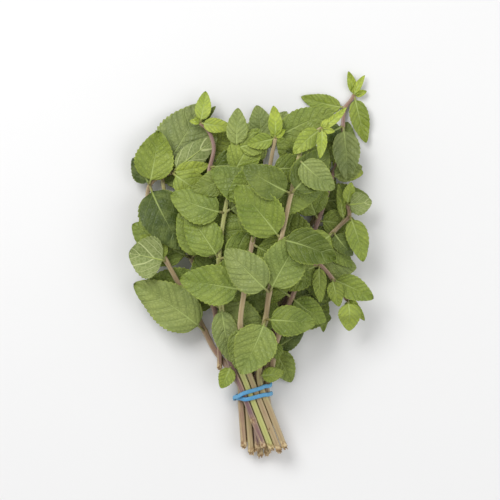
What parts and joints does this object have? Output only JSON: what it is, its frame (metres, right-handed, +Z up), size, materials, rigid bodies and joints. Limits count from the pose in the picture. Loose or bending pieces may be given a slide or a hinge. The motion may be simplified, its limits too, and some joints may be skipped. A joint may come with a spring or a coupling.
{
  "type": "bunch of cut mint stems tied with a rubber band",
  "caption": "Tied bunch of cut mint lying down: slender stems gripped by a twice-wound rubber band fan out into toothed, opposite leaves, with one short loose stem.",
  "frame": {"origin": "middle of the bunch's box in plan, on the surface that the bunch lies on", "axes": "+Y along the bunch from the cut ends to the growing tips, +Z up from the surface, +X to the right seen from above"},
  "size_m": [0.1276, 0.2026, 0.0448],
  "materials": {
    "mint_leaf": "soft matte leaf, mid green above with paler veins, paler underneath",
    "mint_stem": "smooth square stem, purple-brown to yellow-green",
    "rubber_band": "smooth matte sky-blue rubber"
  },
  "bodies": {
    "root": {"under_left": "mint_leaf", "under_centre": "mint_leaf", "under_right": "mint_leaf", "under_corner": "mint_leaf", "middle_far_left": "mint_leaf", "middle_left": "mint_leaf", "middle_right": "mint_leaf", "middle_far_right": "mint_leaf", "middle_corner": "mint_leaf", "loose_stem": "mint_leaf", "top_left": "mint_leaf", "top_centre": "mint_leaf", "top_right": "mint_leaf", "top_far_right": "mint_leaf", "rubber_band": "rubber_band"}
  },
  "joints": []
}
